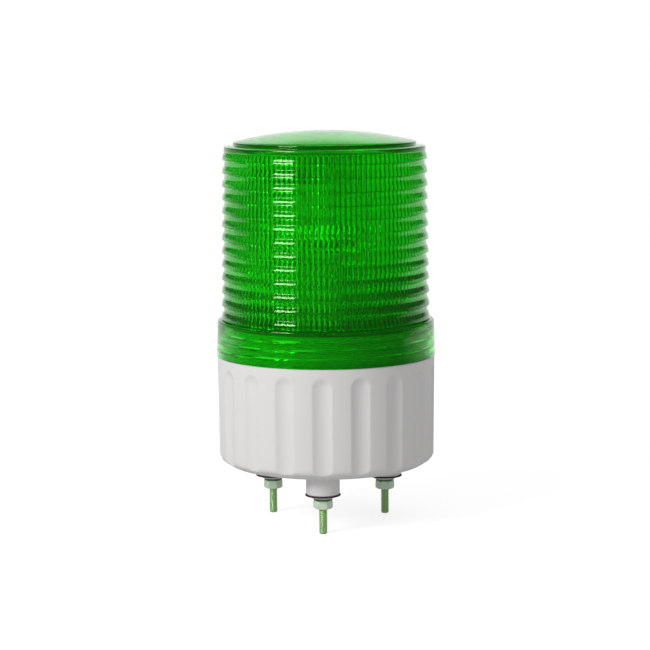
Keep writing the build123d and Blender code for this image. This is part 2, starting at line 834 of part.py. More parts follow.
with BuildPart() as motor_pinion:
    with BuildSketch(Plane((motor_place[0], motor_place[1], wheel_z - run_gap))):
        with BuildLine():
            Polyline(
                *gear_points(motor_pinion_teeth, fast_module, motor_pinion_phase), close=True
            )
        make_face()
        Circle(motor_shaft_d / 2 + clip_gap, mode=Mode.SUBTRACT)
    extrude(amount=fast_face + run_gap)
motor_pinion.part.label = "motor_pinion"
export_step(motor_pinion.part, "parts/motor_pinion.step")

with BuildPart() as motor_screws:
    for place in motor_screw_places:
        seat = (*place, plate_top_z)
        with BuildSketch(Plane(seat, x_dir=(1, 0, 0), z_dir=(0, -1, 0))):
            with BuildLine():
                Polyline(
                    *screw_outline(
                        small_screw_d, small_head_d, small_head_h,
                        plate_t + small_screw_bite - 0.5,
                    ),
                    close=True,
                )
            make_face()
        revolve(axis=Axis(seat, (0, 0, 1)))
motor_screws.part.label = "motor_screws"
export_step(motor_screws.part, "parts/motor_screws.step")


# Reflector: a parabolic dish round the bulb, notched for the holder, on a ribbed foot
mouth_r = sqrt(4 * focal_length * (mouth_ahead + focal_length))
dish_low_z = platform_top_z + mirror_foot_gap
foot_low = platform_top_z - focus_z
with BuildPart() as reflector:
    with BuildSketch(mirror_plane):
        with BuildLine():
            Bezier(
                (-focal_length - mirror_wall, 0),
                (-focal_length - mirror_wall, (mouth_r + mirror_wall) / 2),
                (mouth_ahead, mouth_r + mirror_wall),
            )
            Polyline(
                (mouth_ahead, mouth_r + mirror_wall),
                (mouth_ahead, 0),
                (-focal_length - mirror_wall, 0),
            )
        make_face()
    revolve(axis=mirror_axis)
    split(bisect_by=Plane.XY.offset(dish_low_z), keep=Keep.TOP)
    with BuildSketch(rear_plane):
        Circle(foot_far)
        with Locations((-foot_middle, 0)):
            Rectangle(foot_far - foot_near, foot_w, mode=Mode.INTERSECT)
    extrude(amount=foot_t)
    for side in (-1, 1):
        with BuildSketch(mirror_plane.offset(side * gusset_spread / 2 - gusset_t / 2)):
            with BuildLine():
                Polyline(
                    (-foot_far + foot_t, foot_low),
                    (-foot_near, foot_low),
                    (-foot_near, -mouth_r / 3),
                    (-focal_length + mirror_wall, -mouth_r / 4),
                    (-foot_far + foot_t, foot_low + 2 * foot_t),
                    close=True,
                )
            make_face()
        extrude(amount=gusset_t)
    with BuildSketch(mirror_plane):
        with BuildLine():
            Bezier((-focal_length, 0), (-focal_length, mouth_r / 2), (mouth_ahead, mouth_r))
            Polyline((mouth_ahead, mouth_r), (mouth_ahead, 0), (-focal_length, 0))
        make_face()
    revolve(axis=mirror_axis, mode=Mode.SUBTRACT)
    with Locations((0, 0, platform_top_z)):
        Cylinder(
            holder_d / 2 + notch_gap, cap_top_z - platform_top_z,
            align=(Align.CENTER, Align.CENTER, Align.MIN), mode=Mode.SUBTRACT,
        )
    with BuildSketch(rear_plane):
        with Locations(*screw_row):
            Circle(small_screw_d / 2 + screw_gap)
    extrude(amount=foot_t, mode=Mode.SUBTRACT)
reflector.part.label = "reflector"
export_step(reflector.part, "parts/reflector.step")

with BuildPart() as reflector_screws:
    for place in screw_row:
        seat = rear_plane.from_local_coords((*place, foot_t))
        with BuildSketch(Plane(seat, x_dir=(1, 0, 0), z_dir=(0, -1, 0))):
            with BuildLine():
                Polyline(
                    *screw_outline(
                        small_screw_d, small_head_d, small_head_h,
                        foot_t + small_screw_bite - 0.5,
                    ),
                    close=True,
                )
            make_face()
        revolve(axis=Axis(seat, (0, 0, 1)))
reflector_screws.part.label = "reflector_screws"
export_step(reflector_screws.part, "parts/reflector_screws.step")

# Bayonet lamp holder on the post: a cup with a stem and two J-slots
leg_z = holder_top_z - slot_depth
with BuildPart() as lamp_holder:
    with BuildSketch(Plane.XZ):
        with BuildLine():
            Polyline(
                (0, post_top_z - holder_stem_h),
                (post_bore_d / 2 - bore_gap, post_top_z - holder_stem_h),
                (post_bore_d / 2 - bore_gap, post_top_z),
                (holder_d / 2, post_top_z),
                (holder_d / 2, holder_top_z),
                (holder_d / 2 - holder_wall, holder_top_z),
                (holder_d / 2 - holder_wall, post_top_z + holder_floor_t),
                (0, post_top_z + holder_floor_t),
                close=True,
            )
        make_face()
    revolve(axis=Axis.Z)
    with PolarLocations(holder_d / 2, 2):
        with Locations((0, 0, holder_top_z)):
            Box(
                4 * holder_wall, slot_w, slot_depth,
                align=(Align.CENTER, Align.CENTER, Align.MAX), mode=Mode.SUBTRACT,
            )
    with PolarLocations(holder_d / 2, 2, start_angle=slot_turn / 2):
        with Locations((0, 0, leg_z)):
            Box(
                4 * holder_wall,
                slot_w + radians(slot_turn) * holder_d / 2,
                slot_w,
                align=(Align.CENTER, Align.CENTER, Align.MIN), mode=Mode.SUBTRACT,
            )
lamp_holder.part.label = "lamp_holder"
export_step(lamp_holder.part, "parts/lamp_holder.step")

with BuildPart() as holder_insulator:
    with BuildSketch(Plane.XY.offset(post_top_z + holder_floor_t)):
        Circle(cap_d / 2)
    extrude(amount=insulator_t)
holder_insulator.part.label = "holder_insulator"
export_step(holder_insulator.part, "parts/holder_insulator.step")

# Bulb: metal cap with two bayonet pins, and the glass
with BuildPart() as bulb_cap:
    with BuildSketch(Plane.XY.offset(cap_z)):
        Circle(cap_d / 2)
    extrude(amount=cap_h)
    chamfer(bulb_cap.edges().group_by(Axis.Z)[0], cap_d / 20)
    with PolarLocations(0, 2, start_angle=slot_turn):
        with Locations(Location((0, 0, leg_z + slot_w / 2), (0, 90, 0))):
            Cylinder(
                cap_pin_d / 2, holder_d / 2, align=(Align.CENTER, Align.CENTER, Align.MIN)
            )
bulb_cap.part.label = "bulb_cap"
export_step(bulb_cap.part, "parts/bulb_cap.step")

with BuildPart() as bulb_glass:
    with BuildSketch(Plane.XY.offset(cap_top_z)):
        Circle(bulb_neck_d / 2)
    extrude(amount=bulb_rise - bulb_d / 2)
    with Locations((0, 0, focus_z)):
        Sphere(bulb_d / 2)
bulb_glass.part.label = "bulb_glass"
export_step(bulb_glass.part, "parts/bulb_glass.step")

# Terminal block under the plate, with its clamping screws and its fixing screws
with BuildPart() as terminal_block:
    with BuildSketch(Plane((block_place[0], block_place[1], plate_z))):
        Rectangle(block_w, block_d)
    extrude(amount=-block_h)
    chamfer(terminal_block.edges().filter_by(Axis.Z), 1.0)
    with BuildSketch(Plane((block_place[0], block_place[1], plate_z))):
        with GridLocations(block_screw_spread, 0, 2, 1):
            Circle(small_screw_d / 2 + screw_gap)
    extrude(amount=-small_screw_bite, mode=Mode.SUBTRACT)
    with BuildSketch(Plane((block_place[0], block_place[1], plate_z - block_h))):
        with GridLocations(pole_pitch, 0, block_poles, 1):
            Circle(pole_d / 2)
    extrude(amount=block_h / 2, mode=Mode.SUBTRACT)
terminal_block.part.label = "terminal_block"
export_step(terminal_block.part, "parts/terminal_block.step")

with BuildPart() as terminal_screws:
    with BuildSketch(Plane((block_place[0], block_place[1], plate_z - block_h / 2))):
        with GridLocations(pole_pitch, 0, block_poles, 1):
            Circle(pole_d / 2 - screw_gap)
    extrude(amount=-block_h / 4)
terminal_screws.part.label = "terminal_screws"
export_step(terminal_screws.part, "parts/terminal_screws.step")

with BuildPart() as block_screws:
    for side in (-1, 1):
        seat = (block_place[0] + side * block_screw_spread / 2, block_place[1], plate_top_z)
        with BuildSketch(Plane(seat, x_dir=(1, 0, 0), z_dir=(0, -1, 0))):
            with BuildLine():
                Polyline(
                    *screw_outline(
                        small_screw_d, small_head_d, small_head_h,
                        plate_t + small_screw_bite - 0.5,
                    ),
                    close=True,
                )
            make_face()
        revolve(axis=Axis(seat, (0, 0, 1)))
block_screws.part.label = "block_screws"
export_step(block_screws.part, "parts/block_screws.step")

print("apex", round(apex_z, 2), "seam", round(seam_z, 2), "focus", round(focus_z, 2))
print("inside top", round(lens_top_z, 2), "mouth", round(mouth_r + mirror_wall, 2))
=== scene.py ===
import json
from math import atan2, ceil, cos, hypot, pi, radians, sin, sqrt

import bmesh
import bpy
from mathutils import Matrix, Vector


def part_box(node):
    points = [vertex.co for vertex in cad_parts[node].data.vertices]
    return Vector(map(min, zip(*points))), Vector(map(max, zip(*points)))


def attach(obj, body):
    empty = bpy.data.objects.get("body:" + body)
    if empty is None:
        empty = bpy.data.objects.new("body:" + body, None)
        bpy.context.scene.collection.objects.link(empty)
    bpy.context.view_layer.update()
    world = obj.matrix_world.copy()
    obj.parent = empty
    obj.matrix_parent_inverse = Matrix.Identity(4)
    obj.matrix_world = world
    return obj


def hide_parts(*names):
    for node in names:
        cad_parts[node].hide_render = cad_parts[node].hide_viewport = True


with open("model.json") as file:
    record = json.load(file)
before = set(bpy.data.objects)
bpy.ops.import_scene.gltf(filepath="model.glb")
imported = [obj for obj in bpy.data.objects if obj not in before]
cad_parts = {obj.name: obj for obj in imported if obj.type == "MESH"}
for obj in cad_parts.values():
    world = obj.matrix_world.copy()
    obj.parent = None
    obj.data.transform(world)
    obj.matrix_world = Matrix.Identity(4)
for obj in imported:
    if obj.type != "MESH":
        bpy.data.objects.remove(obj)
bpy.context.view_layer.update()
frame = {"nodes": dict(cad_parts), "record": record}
mm = 0.001
mergeGap = 0.002 * mm  # points nearer than this become one
nearEnough = 0.01  # mm, for finding points by their place
feet = ("front", "right", "left")
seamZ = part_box("globe")[0].z / mm  # the housing's upper edge, where the globe's collar starts
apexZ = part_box("globe")[1].z / mm
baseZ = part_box("front_packing")[1].z / mm  # underside of the foot bosses
print("frame loaded, seam at", round(seamZ, 2), "mm")


# Small helpers

def srgb(value):
    share = value / 255
    return share / 12.92 if share <= 0.04045 else ((share + 0.055) / 1.055) ** 2.4


def colour(red, green, blue):
    return (srgb(red), srgb(green), srgb(blue), 1.0)


def makePiece(bm, name, smoothAngle):
    mesh = bpy.data.meshes.new(name)
    bm.to_mesh(mesh)
    bm.free()
    mesh.shade_smooth()
    mesh.set_sharp_from_angle(angle=radians(smoothAngle))
    piece = bpy.data.objects.new(name, mesh)
    bpy.context.scene.collection.objects.link(piece)
    return piece


def finishPiece(bm, name, smoothAngle=30):
    bmesh.ops.remove_doubles(bm, verts=bm.verts, dist=mergeGap)
    bmesh.ops.recalc_face_normals(bm, faces=bm.faces)
    return makePiece(bm, name, smoothAngle)


# An outline in the XZ plane from (radius, height) in mm, with some corners rounded
def drawSection(bm, points, rounds=(), segments=3, isClosed=True):
    verts = [bm.verts.new((radius * mm, 0, height * mm)) for radius, height in points]
    for index in range(0 if isClosed else 1, len(verts)):
        bm.edges.new((verts[index - 1], verts[index]))
    for corner, size in rounds:
        bmesh.ops.bevel(
            bm, geom=[verts[points.index(corner)]], offset=size * mm, offset_type="OFFSET",
            affect="VERTICES", segments=segments, profile=0.5, material=-1,
        )


def spinSection(bm, steps, centre=(0.0, 0.0)):
    middle = (centre[0] * mm, centre[1] * mm, 0)
    bmesh.ops.translate(bm, verts=bm.verts, vec=middle)
    bmesh.ops.spin(
        bm, geom=bm.verts[:] + bm.edges[:], cent=middle, axis=(0, 0, 1),
        angle=2 * pi, steps=steps, use_merge=True, use_duplicate=False,
    )


# A section turned about the axis while it climbs by the thread's pitch on every turn
def spinThread(bm, turns, stepsPerTurn, pitch):
    bmesh.ops.spin(
        bm, geom=bm.verts[:] + bm.edges[:], cent=(0, 0, 0), axis=(0, 0, 1),
        dvec=(0, 0, pitch * mm / stepsPerTurn), angle=2 * pi * turns,
        steps=ceil(turns * stepsPerTurn), use_merge=False, use_duplicate=False,
    )


def closeHoles(bm):
    openEdges = [edge for edge in bm.edges if edge.is_boundary]
    bmesh.ops.holes_fill(bm, edges=openEdges, sides=0)


def centreOf(node):
    low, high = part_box(node)
    return ((low.x + high.x) / 2 / mm, (low.y + high.y) / 2 / mm)


def dress(piece, material, body, slot, *nodes):
    piece.data.materials.append(material)
    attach(piece, body)
    if nodes:
        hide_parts(*nodes)


# Materials
grain = {"scale": 900, "strength": 0.08, "height": 0.1}


def newMaterial(name, base, roughness, metallic=0.0):
    material = bpy.data.materials.new(name)
    material.use_nodes = True
    shader = material.node_tree.nodes["Principled BSDF"]
    shader.inputs["Base Color"].default_value = base
    shader.inputs["Roughness"].default_value = roughness
    shader.inputs["Metallic"].default_value = metallic
    return material


def addGrain(material):
    nodes = material.node_tree.nodes
    links = material.node_tree.links
    place = nodes.new("ShaderNodeTexCoord")
    noise = nodes.new("ShaderNodeTexNoise")
    bump = nodes.new("ShaderNodeBump")
    noise.inputs["Scale"].default_value = grain["scale"]
    bump.inputs["Strength"].default_value = grain["strength"]
    bump.inputs["Distance"].default_value = grain["height"] * mm
    links.new(place.outputs["Object"], noise.inputs["Vector"])
    links.new(noise.outputs["Fac"], bump.inputs["Height"])
    links.new(bump.outputs["Normal"], nodes["Principled BSDF"].inputs["Normal"])


def clearPlastic(name, base, roughness, refraction, clear=1.0, tint=(1, 1, 1, 1)):
    material = newMaterial(name, base, roughness)
    shader = material.node_tree.nodes["Principled BSDF"]
    shader.inputs["Transmission Weight"].default_value = clear
    shader.inputs["IOR"].default_value = refraction
    shader.inputs["Specular Tint"].default_value = tint
    return material


housingPlastic = newMaterial("light grey housing plastic", colour(226, 225, 224), 0.5)
addGrain(housingPlastic)
lensPlastic = clearPlastic(
    "clear green lens plastic", colour(28, 234, 17), 0.04, 1.49, clear=0.92,
    tint=(0.7, 1.0, 0.6, 1.0),
)
bulbGlass = clearPlastic("clear bulb glass", colour(244, 246, 244), 0.02, 1.45)
platedSteel = newMaterial("green tinted zinc plating", colour(226, 246, 220), 0.26, 0.15)
# The flat washers are the same zinc as the nuts, made lighter to paint the light falling on their
# upward faces
washerZincPaintedLit = newMaterial("pale zinc plating", colour(240, 246, 240), 0.26, 0.15)
# The lock washers are coloured dark to paint the shade in the gap between flat washer and nut
lockWasherPaintedShade = newMaterial("darker spring steel", colour(104, 150, 104), 0.4, 0.6)
studSteel = newMaterial("green passivated stud", colour(192, 230, 172), 0.2, 0.5)
darkPlate = newMaterial("dark passivated steel", colour(74, 76, 78), 0.45, 0.8)
brightSteel = newMaterial("bright plated steel", colour(196, 198, 200), 0.3, 1.0)
mirrorCoat = newMaterial("metallised mirror", colour(232, 234, 236), 0.08, 1.0)
darkRubber = newMaterial("dark rubber", colour(58, 34, 48), 0.6)
naturalNylon = newMaterial("natural nylon", colour(226, 223, 212), 0.45)
blackPlastic = newMaterial("black plastic", colour(30, 30, 32), 0.45)
turnedBrass = newMaterial("turned brass", colour(206, 168, 96), 0.3, 1.0)
slotMaterials = {
    "housing": housingPlastic, "lens": lensPlastic, "bulb": bulbGlass, "zinc": platedSteel,
    "plate": brightSteel, "mirror": mirrorCoat, "rubber": darkRubber, "nylon": naturalNylon,
    "insulation": blackPlastic, "brass": turnedBrass,
}
for part in frame["record"]["subparts"]:  # the CAD nodes get the same finishes
    node = frame["nodes"][part["node"]]
    node.data.materials.clear()
    node.data.materials.append(slotMaterials[part["material_slot"]])
print("materials ready")


# Globe: collar, saw-tooth ribs, stepped shoulder and dome, with upright prisms inside
globeShape = {
    "steps": 240, "wall": 2.2,
    "collarRadius": 52.9, "collarTop": 52.3, "collarHeight": 17.4, "collarInside": 50.3,
    "collarRound": 1.2, "seamRound": 0.3, "shoulder": 15.8,
    "ribs": 13, "ribPitch": 6.37, "firstTip": 0.65, "lowTip": 50.4, "topTip": 49.3,
    "ribDepth": 1.15, "flank": 3.6, "under": 0.6, "shoulderIn": 0.25, "shoulderUp": 1.9,
    "lipIn": 0.08, "lipUp": 0.26, "tipRound": 0.12, "bendRound": 0.75, "rootRound": 0.2,
    "bandLift": 0.1, "stepRadius": 48.4, "stepHeight": 2.6, "rimRadius": 44.0, "rimLift": 0.4,
    "rimHeight": 1.6, "rimRound": 0.6, "domeRise": 5.3, "domeRows": 14,
    "threadFrom": 1.2, "threadTo": 13.6, "threadRows": 32, "threadDepth": 0.7,
    "threadHalf": 0.85, "threadTaper": 1.0,
    "prisms": 120, "prismFacets": 8, "prismDepth": 0.9, "prismCrest": 45.85,
    "prismOuter": 47.4, "prismInner": 45.3,
}
# The thread between neck and collar
threadShape = {
    "pitch": 4.0, "turns": 2.6, "low": 2.4, "height": 1.7, "proud": 0.85, "sunk": 0.3,
    "crestFrom": 0.35, "crestTo": 0.65, "steps": 96,
}


def domeHeight(radius):
    s = globeShape
    ballRadius = (s["rimRadius"] ** 2 + s["domeRise"] ** 2) / (2 * s["domeRise"])
    return apexZ - ballRadius + sqrt(ballRadius ** 2 - radius ** 2)


# From the prisms' lower ends down inside the collar, up outside, over the dome and back inside it
def globeOutline():
    s = globeShape
    prismLow = seamZ + s["shoulder"]
    collarTopZ = seamZ + s["collarHeight"]
    threadLow = seamZ + s["threadFrom"]
    threadHigh = seamZ + s["threadTo"]
    threadStep = (threadHigh - threadLow) / s["threadRows"]
    points = [(s["prismOuter"], prismLow), (s["collarInside"], prismLow)]
    for row in range(s["threadRows"] + 1):
        points.append((s["collarInside"], threadHigh - threadStep * row))
    points += [
        (s["collarInside"], seamZ), (s["collarRadius"], seamZ), (s["collarTop"], collarTopZ),
    ]
    rounds = [(points[-2], s["seamRound"]), (points[-1], s["collarRound"])]
    for rib in range(s["ribs"]):
        tip = s["lowTip"] + (s["topTip"] - s["lowTip"]) * rib / (s["ribs"] - 1)
        tipZ = collarTopZ + s["firstTip"] + s["ribPitch"] * rib
        under = s["firstTip"] if rib == 0 else s["under"]
        root = (tip - s["ribDepth"] * under / s["under"], tipZ - under)
        bend = (tip - s["shoulderIn"], tipZ + s["shoulderUp"])
        groove = (tip - s["ribDepth"], tipZ + s["flank"])
        points += [root, (tip, tipZ), (tip - s["lipIn"], tipZ + s["lipUp"]), bend, groove]
        rounds += [((tip, tipZ), s["tipRound"]), (bend, s["bendRound"])]
        if rib > 0:
            rounds.append((root, s["rootRound"]))
        if rib < s["ribs"] - 1:
            rounds.append((groove, s["rootRound"]))
    ledgeZ = tipZ + s["flank"] + s["stepHeight"]
    rimLow = ledgeZ + s["rimLift"]
    points += [
        (s["stepRadius"], tipZ + s["flank"] + s["bandLift"]), (s["stepRadius"], ledgeZ),
        (s["rimRadius"], rimLow), (s["rimRadius"], rimLow + s["rimHeight"]),
    ]
    rounds += [
        (points[-3], s["rimRound"]), (points[-2], s["rimRound"] / 2), (points[-1], s["rimRound"]),
    ]
    for row in range(1, s["domeRows"]):
        radius = s["rimRadius"] * (1 - row / s["domeRows"])
        points.append((radius, domeHeight(radius)))
    points += [(0.0, apexZ), (0.0, apexZ - s["wall"])]
    for row in range(1, s["domeRows"] + 1):
        radius = (s["rimRadius"] - s["wall"]) * row / s["domeRows"]
        points.append((radius, domeHeight(radius) - s["wall"]))
    points.append((s["prismInner"], ledgeZ - s["wall"]))
    return points, rounds


def isNear(value, wanted):
    return abs(value - wanted * mm) < nearEnough * mm


# The collar's own thread runs midway between the ridges of the neck
def raiseCollarThread(bm):
    s = globeShape
    pitch = threadShape["pitch"]
    between = threadShape["low"] + threadShape["height"] / 2 + pitch / 2
    for vert in bm.verts:
        height = vert.co.z / mm - seamZ
        ends = min(height - s["threadFrom"], s["threadTo"] - height, s["threadTaper"])
        climb = atan2(vert.co.y, vert.co.x) / (2 * pi) * pitch
        offset = abs((height - between - climb + pitch / 2) % pitch - pitch / 2)
        inward = isNear(vert.co.xy.length, s["collarInside"])
        if inward and ends > 0 and offset < s["threadHalf"]:
            share = ends / s["threadTaper"]
            ridge = s["threadDepth"] * share * cos(pi / 2 * offset / s["threadHalf"]) ** 2
            vert.co.xy *= 1 - ridge / s["collarInside"]


# Round prisms stand side by side on the inner wall, between the outline's two ends
def addPrisms(bm, lowZ, highZ):
    s = globeShape
    crest = s["prismCrest"]
    halfWidth = pi * crest / s["prisms"]
    bow = (halfWidth ** 2 + s["prismDepth"] ** 2) / (2 * s["prismDepth"])
    circle = bmesh.ops.create_circle(
        bm, segments=s["prisms"] * s["prismFacets"], radius=crest * mm,
        matrix=Matrix.Translation((0, 0, lowZ * mm)),
    )
    for vert in circle["verts"]:
        place = atan2(vert.co.y, vert.co.x) / (2 * pi) * s["prisms"] % 1
        across = (2 * place - 1) * halfWidth
        vert.co.xy *= (crest + bow - sqrt(bow ** 2 - across ** 2)) / crest
    scallops = [edge for edge in bm.edges if edge.is_wire]
    raised = bmesh.ops.extrude_edge_only(bm, edges=scallops)["geom"]
    tops = [item for item in raised if isinstance(item, bmesh.types.BMVert)]
    bmesh.ops.translate(bm, verts=tops, vec=(0, 0, (highZ - lowZ) * mm))
    rims = [edge for edge in bm.edges if edge.is_boundary]
    for height in (lowZ, highZ):
        pair = [edge for edge in rims if isNear(edge.verts[0].co.z, height)]
        bmesh.ops.bridge_loops(bm, edges=pair)


def makeGlobe():
    bm = bmesh.new()
    points, rounds = globeOutline()
    drawSection(bm, points, rounds, isClosed=False)
    spinSection(bm, globeShape["steps"])
    bmesh.ops.remove_doubles(bm, verts=bm.verts, dist=mergeGap)
    onAxis = [edge for edge in bm.edges if edge.is_wire]  # the outline's one line on the axis
    bmesh.ops.delete(bm, geom=onAxis, context="EDGES")
    raiseCollarThread(bm)
    addPrisms(bm, points[0][1], points[-1][1])
    return finishPiece(bm, "ribbedGlobe", smoothAngle=24)


dress(makeGlobe(), lensPlastic, "globe", "lens", "globe")
print("globe made")


# Housing: fluted cup, sloped underside edge, neck with its thread, bosses, pillars
housingShape = {
    "steps": 720, "radius": 52.5, "draft": 0.5, "height": 52.9, "wall": 2.6, "floor": 2.7,
    "edgeWidth": 5.9, "edgeHeight": 3.8, "edgeRound": 1.6, "rimDrop": 0.6, "rimWidth": 3.0,
    "seat": 3.2, "seamRound": 0.5, "neckHeight": 14.6, "neckWall": 2.0, "neckRound": 0.4,
    "slopeHeight": 6.0, "inlet": 5.5,
    "flutes": 18, "fluteStart": -88.7, "fluteWidth": 9.4, "fluteDepth": 1.35, "fluteTop": 4.5,
    "fluteEdge": 0.05, "fluteReach": 1.0, "wallMargin": 0.3, "faceMargin": 0.05,
    "firstRow": 3.0, "rowHeight": 0.8, "rowsPast": 1.6, "spareRows": 3,
    "bossRadius": 8.0, "bossHeight": 8.9, "bossRound": 0.6, "bossInset": 0.4, "bossDrop": 0.9,
    "bossHole": 2.1, "bossSteps": 64,
    "pillarRadius": 4.5, "pillarPlace": 41.0, "pillars": 3, "pillarStart": 90.0,
    "pillarSteps": 32,
}
footRadius = housingShape["radius"] - housingShape["draft"]
edgeIn = footRadius - housingShape["edgeWidth"]
innerWall = housingShape["radius"] - housingShape["wall"]
neckRadius = housingShape["radius"] - housingShape["seat"]
floorLow = seamZ - housingShape["height"]
floorTop = floorLow + housingShape["floor"]
edgeTop = floorLow + housingShape["edgeHeight"] - housingShape["rimDrop"]
fluteEnd = seamZ - housingShape["fluteTop"] - housingShape["fluteWidth"] / 2


def wallRadius(height):
    rise = max(0.0, height - edgeTop)
    return footRadius + housingShape["draft"] * rise / (seamZ - edgeTop)


# Each flute is a round-ended scoop with softened edges
def scoopFlutes(bm):
    s = housingShape
    spread = 2 * pi / s["flutes"]
    for vert in bm.verts:
        flat = vert.co.xy / mm
        height = vert.co.z / mm
        if flat.length < edgeIn - s["fluteReach"] or height > seamZ - s["faceMargin"]:
            continue
        if flat.length < innerWall + s["wallMargin"] and height > floorTop + s["faceMargin"]:
            continue
        turn = atan2(flat.y, flat.x) - radians(s["fluteStart"])
        across = ((turn + spread / 2) % spread - spread / 2) * s["radius"]
        fromAxis = hypot(across, max(0.0, height - fluteEnd)) / (s["fluteWidth"] / 2)
        scoop = wallRadius(height) - s["fluteDepth"] * (1 - fromAxis ** 2)
        gap = flat.length - scoop
        radius = (flat.length + scoop - sqrt(gap ** 2 + s["fluteEdge"] ** 2)) / 2
        vert.co.xy = flat * (radius / flat.length * mm)


def makeHousing():
    s = housingShape
    neckIn = neckRadius - s["neckWall"]
    neckTop = seamZ + s["neckHeight"]
    bottom = [
        (s["inlet"], floorLow), (edgeIn - s["rimWidth"], floorLow),
        (edgeIn, floorLow - s["rimDrop"]), (footRadius, edgeTop),
    ]
    rows = ceil((s["fluteWidth"] / 2 + s["rowsPast"]) / s["rowHeight"]) + s["spareRows"]
    wallRows = [edgeTop + s["firstRow"]]
    wallRows += [fluteEnd - s["rowsPast"] + s["rowHeight"] * row for row in range(rows)]
    wall = [(wallRadius(height), height) for height in wallRows]
    top = [
        (s["radius"], seamZ), (neckRadius, seamZ), (neckRadius, neckTop), (neckIn, neckTop),
        (neckIn, seamZ), (innerWall, seamZ - s["slopeHeight"]), (innerWall - s["draft"], edgeTop),
        (edgeIn - s["wall"] / 2, floorTop), (s["inlet"], floorTop),
    ]
    rounds = [
        (bottom[2], s["edgeRound"]), (bottom[3], s["edgeRound"]), (top[0], s["seamRound"]),
        (top[2], s["neckRound"]), (top[3], s["neckRound"]),
    ]
    bm = bmesh.new()
    drawSection(bm, bottom + wall + top, rounds, segments=4)
    spinSection(bm, s["steps"])
    scoopFlutes(bm)
    return finishPiece(bm, "flutedHousing", smoothAngle=40)


def makeBosses():
    s = housingShape
    low = baseZ - s["bossDrop"]
    high = baseZ + s["bossHeight"] + s["bossInset"]
    section = [
        (s["bossHole"], low), (s["bossRadius"], low), (s["bossRadius"], high),
        (s["bossHole"], high),
    ]
    pieces = bmesh.new()
    for foot in feet:
        bm = bmesh.new()
        drawSection(bm, section, [(section[1], s["bossRound"])])
        spinSection(bm, s["bossSteps"], centreOf(foot + "_stud"))
        ring = bpy.data.meshes.new("boss")
        bm.to_mesh(ring)
        bm.free()
        pieces.from_mesh(ring)
        bpy.data.meshes.remove(ring)
    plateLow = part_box("chassis_plate")[0].z / mm
    reach = s["pillarPlace"] * mm
    for pillar in range(s["pillars"]):
        angle = radians(s["pillarStart"] + 360 / s["pillars"] * pillar)
        middle = (reach * cos(angle), reach * sin(angle), (plateLow + floorTop) / 2 * mm)
        bmesh.ops.create_cone(
            pieces, cap_ends=True, segments=s["pillarSteps"], radius1=s["pillarRadius"] * mm,
            radius2=s["pillarRadius"] * mm, depth=(plateLow - floorTop) * mm,
            matrix=Matrix.Translation(middle),
        )
    return finishPiece(pieces, "footBosses", smoothAngle=40)


# A ridge that climbs round the neck, seen through the clear collar
def makeNeckThread():
    s = threadShape
    low = seamZ + s["low"]
    high = low + s["height"]
    bm = bmesh.new()
    drawSection(bm, [
        (neckRadius - s["sunk"], low), (neckRadius, low),
        (neckRadius + s["proud"], low + s["height"] * s["crestFrom"]),
        (neckRadius + s["proud"], low + s["height"] * s["crestTo"]), (neckRadius, high),
        (neckRadius - s["sunk"], high),
    ])
    spinThread(bm, s["turns"], s["steps"], s["pitch"])
    closeHoles(bm)
    return finishPiece(bm, "neckThread")


dress(makeHousing(), housingPlastic, "base", "housing", "base_housing")
dress(makeBosses(), housingPlastic, "base", "housing")
dress(makeNeckThread(), housingPlastic, "base", "housing")
print("housing made")


# Studs with rolled threads
studShape = {
    "radius": 2.0, "threadDepth": 0.35, "pitch": 0.7, "crestFrom": 0.42, "crestTo": 0.58,
    "steps": 28, "tipTaper": 0.5, "shank": 1.77, "headFlats": 7.0, "headHeight": 2.8,
    "threadTop": 13.2, "cutSlack": 1e-7,
}


def makeStud(foot):
    s = studShape
    low, high = (corner.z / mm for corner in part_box(foot + "_stud"))
    root = s["radius"] - s["threadDepth"]
    crests = ((root, 0.0), (s["radius"], s["crestFrom"]), (s["radius"], s["crestTo"]))
    turns = ceil((s["threadTop"] - low) / s["pitch"]) + 1
    section = []
    for turn in range(turns):
        start = low + s["pitch"] * (turn - 1)
        section += [(radius, start + s["pitch"] * share) for radius, share in crests]
    section.append((root, start + s["pitch"]))
    bm = bmesh.new()
    drawSection(bm, section, isClosed=False)
    spinThread(bm, 1, s["steps"], s["pitch"])
    bmesh.ops.remove_doubles(bm, verts=bm.verts, dist=mergeGap)
    for height, way in ((low, -1), (s["threadTop"], 1)):
        bmesh.ops.bisect_plane(
            bm, geom=bm.verts[:] + bm.edges[:] + bm.faces[:], dist=s["cutSlack"],
            plane_co=(0, 0, height * mm), plane_no=(0, 0, way), clear_outer=True,
        )
    closeHoles(bm)
    # the tip is tapered
    for vert in bm.verts:
        limit = (s["radius"] - s["tipTaper"]) * mm + vert.co.z - low * mm
        if vert.co.xy.length > limit:
            vert.co.xy *= limit / vert.co.xy.length
    shankTop = high - s["headHeight"]
    bmesh.ops.create_cone(
        bm, cap_ends=True, segments=s["steps"], radius1=s["shank"] * mm,
        radius2=s["shank"] * mm, depth=(shankTop - s["threadTop"]) * mm,
        matrix=Matrix.Translation((0, 0, (shankTop + s["threadTop"]) / 2 * mm)),
    )
    corner = s["headFlats"] / 2 / cos(pi / 6) * mm
    middle = Matrix.Translation((0, 0, (shankTop + s["headHeight"] / 2) * mm))
    bmesh.ops.create_cone(
        bm, cap_ends=True, segments=6, radius1=corner, radius2=corner,
        depth=s["headHeight"] * mm, matrix=middle @ Matrix.Rotation(pi / 6, 4, "Z"),
    )
    x, y = centreOf(foot + "_stud")
    bmesh.ops.translate(bm, verts=bm.verts, vec=(x * mm, y * mm, 0))
    return finishPiece(bm, foot + "ThreadedStud", smoothAngle=35)


for foot in feet:
    dress(makeStud(foot), studSteel, "base", "zinc", foot + "_stud")
print("studs made")


# Packing rings with a tapered underside
packingShape = {"inner": 2.1, "outer": 8.45, "lip": 0.6, "foot": 7.2, "round": 0.15, "steps": 72}


